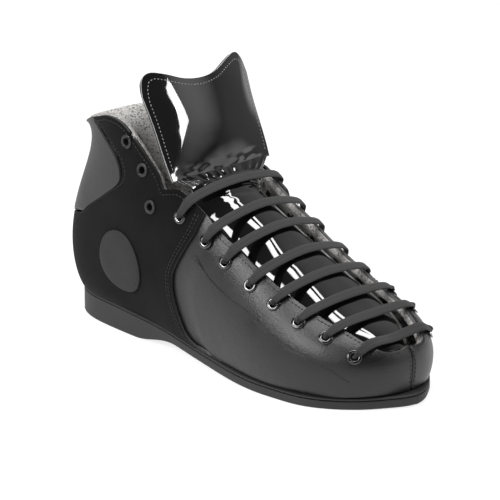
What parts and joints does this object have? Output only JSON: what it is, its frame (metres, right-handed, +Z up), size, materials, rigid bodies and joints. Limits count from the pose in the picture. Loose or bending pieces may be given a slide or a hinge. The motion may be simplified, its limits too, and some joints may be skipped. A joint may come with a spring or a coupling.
{
  "type": "skate boot",
  "caption": "Short lace-up skate boot for the right foot: leather upper on a flat rubber sole with a low heel, padded glossy tongue with a fold-over front flap.",
  "frame": {"origin": "centre of the bounding box in plan, at the level the heel and the ball of the sole stand on", "axes": "+X towards the toe, +Y towards the inner side of the foot, +Z up"},
  "size_m": [0.2864, 0.1014, 0.1741],
  "materials": {
    "sole_rubber": "matte, fine moulded grain",
    "filler_cork": "ground cork",
    "shank_steel": "plain spring steel",
    "insole_board": "pressed fibre board",
    "footbed_fabric": "brushed knit on foam",
    "vamp_leather": "smooth, satin, fine grain",
    "quarter_suede": "matte short-napped suede",
    "stay_fabric": "coated reinforcement cloth",
    "lining_fabric": "light grey brushed lining",
    "smooth_leather": "smooth, satin",
    "stiffener": "impregnated sheet",
    "foam": "soft open-cell foam",
    "patent_leather": "patent, mirror gloss",
    "flap_lining_fabric": "dark brushed lining",
    "lace_fabric": "flat woven, matte",
    "aglet_plastic": "smooth",
    "eyelet_enamel": "black enamel, worn bright at the rim"
  },
  "bodies": {
    "boot": {"outsole": "sole_rubber", "heel_lift": "sole_rubber", "forefoot_filler": "filler_cork", "shank": "shank_steel", "insole_board": "insole_board", "footbed": "footbed_fabric", "vamp_outer": "vamp_leather", "vamp_inner": "vamp_leather", "quarter_outer": "quarter_suede", "quarter_inner": "quarter_suede", "eyelet_stay_outer": "stay_fabric", "eyelet_stay_inner": "stay_fabric", "lining_outer": "lining_fabric", "lining_inner": "lining_fabric", "ankle_patch_outer": "smooth_leather", "ankle_patch_inner": "smooth_leather", "back_panel": "smooth_leather", "toe_puff": "stiffener", "heel_counter": "stiffener", "collar_padding": "foam", "tongue_shell": "patent_leather", "tongue_foam": "foam", "tongue_lining": "lining_fabric", "lace": "lace_fabric", "aglet_first": "aglet_plastic", "aglet_last": "aglet_plastic", "eyelet_outer_1": "eyelet_enamel", "eyelet_outer_2": "eyelet_enamel", "eyelet_outer_3": "eyelet_enamel", "eyelet_outer_4": "eyelet_enamel", "eyelet_outer_5": "eyelet_enamel", "eyelet_outer_6": "eyelet_enamel", "eyelet_outer_7": "eyelet_enamel", "eyelet_outer_8": "eyelet_enamel", "eyelet_outer_9": "eyelet_enamel", "eyelet_outer_10": "eyelet_enamel", "eyelet_outer_11": "eyelet_enamel", "eyelet_inner_1": "eyelet_enamel", "eyelet_inner_2": "eyelet_enamel", "eyelet_inner_3": "eyelet_enamel", "eyelet_inner_4": "eyelet_enamel", "eyelet_inner_5": "eyelet_enamel", "eyelet_inner_6": "eyelet_enamel", "eyelet_inner_7": "eyelet_enamel", "eyelet_inner_8": "eyelet_enamel", "eyelet_inner_9": "eyelet_enamel", "eyelet_inner_10": "eyelet_enamel", "eyelet_inner_11": "eyelet_enamel"},
    "flap": {"flap_shell": "patent_leather", "flap_foam": "foam", "flap_lining": "flap_lining_fabric"}
  },
  "joints": [
    {"name": "flap_fold", "type": "hinge", "parent": "boot", "child": "flap", "pos_m": [-0.018, 0.00256, 0.1105], "axis": [0, 1, 0], "range_deg": [-10, 75]}
  ]
}
